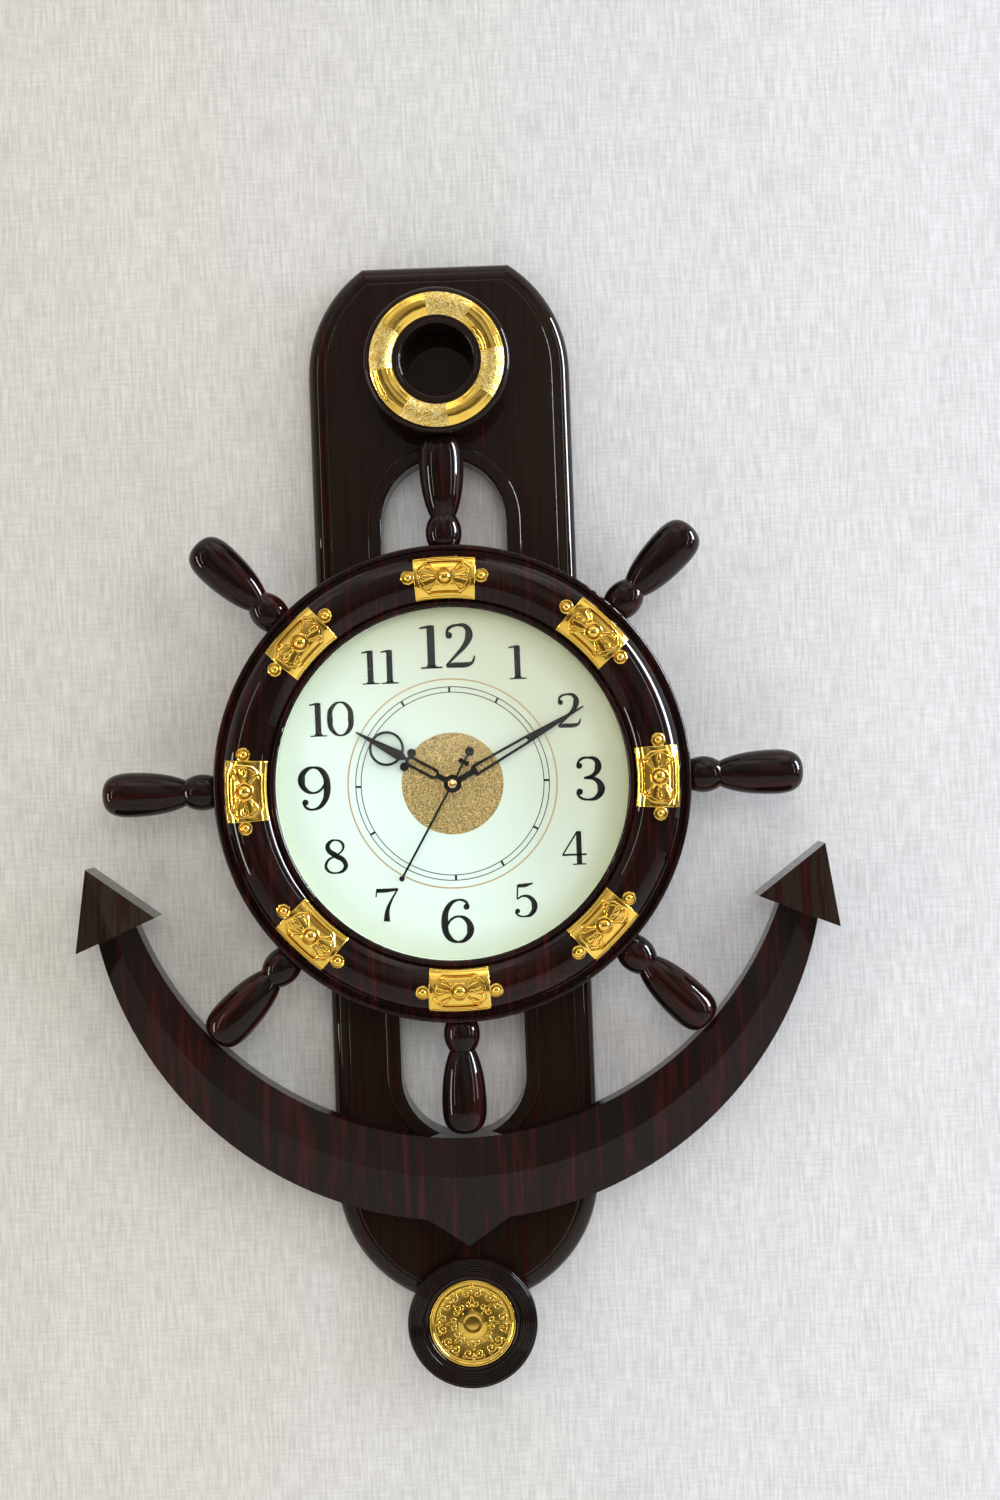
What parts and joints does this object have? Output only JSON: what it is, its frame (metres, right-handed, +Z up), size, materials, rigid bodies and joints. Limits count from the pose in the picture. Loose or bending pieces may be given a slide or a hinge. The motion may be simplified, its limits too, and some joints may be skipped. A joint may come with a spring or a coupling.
{
  "type": "ship wheel clock",
  "caption": "Wall clock shaped as a ship's wheel on an anchor board, with turned handles, gilt plates, a printed dial and a small swinging pendulum.",
  "frame": {"origin": "centre of the keyhole of the steel hanger plate, on the plate's rear face, 2.6 mm in front of the wall", "axes": "+X to the right seen from the front, +Y into the wall, +Z up; the dial faces -Y"},
  "size_m": [0.3846, 0.0573, 0.575],
  "materials": {
    "lacquer": "moulded plastic under a dark rosewood grain print and a high gloss lacquer",
    "gilt": "gold vacuum plating over moulded plastic, mirror bright",
    "dial_print": "pale mint printed dial sheet with black figures",
    "cream_plastic": "satin moulded plastic",
    "dark_plastic": "black moulded plastic",
    "gear_plastic": "natural acetal",
    "glass": "clear float glass, 2 mm",
    "zinc_steel": "zinc plated steel",
    "brass": "turned brass",
    "copper": "enamelled copper winding",
    "magnet": "sintered ferrite",
    "circuit": "green solder mask",
    "cell_wrap": "plain wrap, unprinted",
    "hand_black": "black painted sheet"
  },
  "bodies": {
    "clock": {"anchor_arms": "lacquer", "assembly_screws": "zinc_steel", "backboard": "lacquer", "cell_contacts": "zinc_steel", "cells": "cell_wrap", "circuit_board": "circuit", "dial_board": "dark_plastic", "dial_screws": "zinc_steel", "dial_sheet": "dial_print", "dial_spacer": "cream_plastic", "drive_case": "dark_plastic", "drive_coil": "copper", "drive_cover": "dark_plastic", "fluke_left": "lacquer", "fluke_right": "lacquer", "glass": "glass", "hanger_plate": "zinc_steel", "motor_coil": "copper", "mounting_nut": "brass", "movement_case": "dark_plastic", "movement_cover": "dark_plastic", "ornament_plate_1": "gilt", "ornament_plate_2": "gilt", "ornament_plate_3": "gilt", "ornament_plate_4": "gilt", "ornament_plate_5": "gilt", "ornament_plate_6": "gilt", "ornament_plate_7": "gilt", "ornament_plate_8": "gilt", "ring_housing": "lacquer", "ring_trim": "gilt", "stator": "zinc_steel", "train_plate": "gear_plastic", "wheel_handle_1": "lacquer", "wheel_handle_2": "lacquer", "wheel_handle_3": "lacquer", "wheel_handle_4": "lacquer", "wheel_handle_5": "lacquer", "wheel_handle_6": "lacquer", "wheel_handle_7": "lacquer", "wheel_handle_8": "lacquer", "wheel_rim": "lacquer"},
    "pendulum": {"pendulum_rod": "lacquer", "pendulum_bob": "lacquer", "bob_medallion": "gilt", "swing_arbor": "zinc_steel", "swing_lever": "gear_plastic", "swing_magnet": "magnet"},
    "seconds": {"seconds_wheel": "gear_plastic", "second_hand": "hand_black"},
    "rotor": {"rotor": "magnet"},
    "step": {"step_wheel": "gear_plastic"},
    "third": {"third_wheel": "gear_plastic"},
    "centre": {"centre_wheel": "gear_plastic"},
    "minutes": {"minute_shaft": "brass", "minute_hand": "hand_black"},
    "motion": {"motion_wheel": "gear_plastic"},
    "hours": {"hour_wheel": "gear_plastic", "hour_hand": "hand_black"},
    "knob": {"setting_knob": "dark_plastic"}
  },
  "joints": [
    {"name": "pendulum_swing", "type": "hinge", "parent": "clock", "child": "pendulum", "pos_m": [0, 0, -0.433], "axis": [0, 1, 0], "range_deg": [-8, 8]},
    {"name": "second_hand_spin", "type": "hinge", "parent": "clock", "child": "seconds", "pos_m": [0, 0, -0.235], "axis": [0, 1, 0], "continuous": true},
    {"name": "rotor_spin", "type": "hinge", "parent": "clock", "child": "rotor", "pos_m": [0.00204, 0, -0.22067], "axis": [0, 1, 0], "continuous": true},
    {"name": "step_wheel_spin", "type": "hinge", "parent": "clock", "child": "step", "pos_m": [-0.00146, 0, -0.22673], "axis": [0, 1, 0], "continuous": true},
    {"name": "third_wheel_spin", "type": "hinge", "parent": "clock", "child": "third", "pos_m": [-0.0102, 0, -0.235], "axis": [0, 1, 0], "continuous": true},
    {"name": "centre_wheel_spin", "type": "hinge", "parent": "clock", "child": "centre", "pos_m": [0, 0, -0.235], "axis": [0, 1, 0], "continuous": true},
    {"name": "minute_hand_spin", "type": "hinge", "parent": "clock", "child": "minutes", "pos_m": [0, 0, -0.235], "axis": [0, 1, 0], "continuous": true},
    {"name": "motion_wheel_spin", "type": "hinge", "parent": "clock", "child": "motion", "pos_m": [0.0096, 0, -0.235], "axis": [0, 1, 0], "continuous": true},
    {"name": "hour_hand_spin", "type": "hinge", "parent": "clock", "child": "hours", "pos_m": [0, 0, -0.235], "axis": [0, 1, 0], "continuous": true},
    {"name": "setting_knob_spin", "type": "hinge", "parent": "clock", "child": "knob", "pos_m": [0.01787, 0, -0.22806], "axis": [0, 1, 0], "continuous": true}
  ],
  "couplings": [
    {"joint": "rotor_spin", "follows": "second_hand_spin", "ratio": 30},
    {"joint": "step_wheel_spin", "follows": "second_hand_spin", "ratio": -5},
    {"joint": "third_wheel_spin", "follows": "second_hand_spin", "ratio": -0.13333},
    {"joint": "centre_wheel_spin", "follows": "second_hand_spin", "ratio": 0.016667},
    {"joint": "motion_wheel_spin", "follows": "minute_hand_spin", "ratio": -0.33333},
    {"joint": "hour_hand_spin", "follows": "minute_hand_spin", "ratio": 0.083333},
    {"joint": "setting_knob_spin", "follows": "minute_hand_spin", "ratio": 0.66667}
  ]
}
